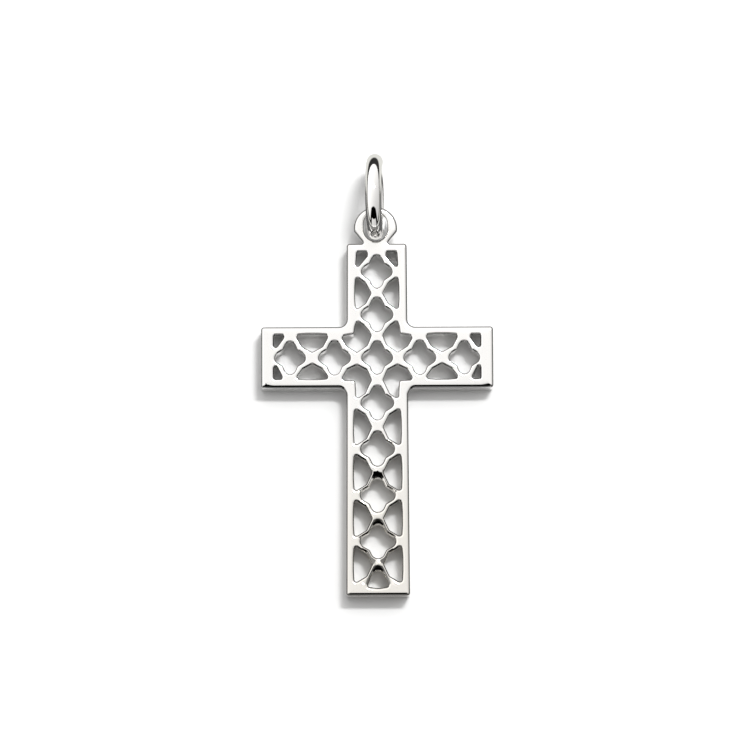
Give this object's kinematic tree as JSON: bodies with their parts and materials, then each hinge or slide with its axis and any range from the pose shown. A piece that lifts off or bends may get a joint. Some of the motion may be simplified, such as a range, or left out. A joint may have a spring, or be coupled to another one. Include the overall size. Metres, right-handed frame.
{
  "type": "cross pendant",
  "caption": "Silver Latin cross with a pierced quatrefoil lattice, a flat eye at its head and a round jump ring for a chain.",
  "frame": {"origin": "on the surface that the pendant lies on, under the middle of its bounding box", "axes": "+X across the arms to the viewer's right, +Y along the upright towards the jump ring, +Z out of the front face"},
  "size_m": [0.0186, 0.0354, 0.0069],
  "materials": {
    "polished_silver": "polished silver",
    "ring_silver": "polished drawn silver wire"
  },
  "bodies": {
    "root": {"cross": "polished_silver", "jump_ring": "ring_silver"}
  },
  "joints": []
}
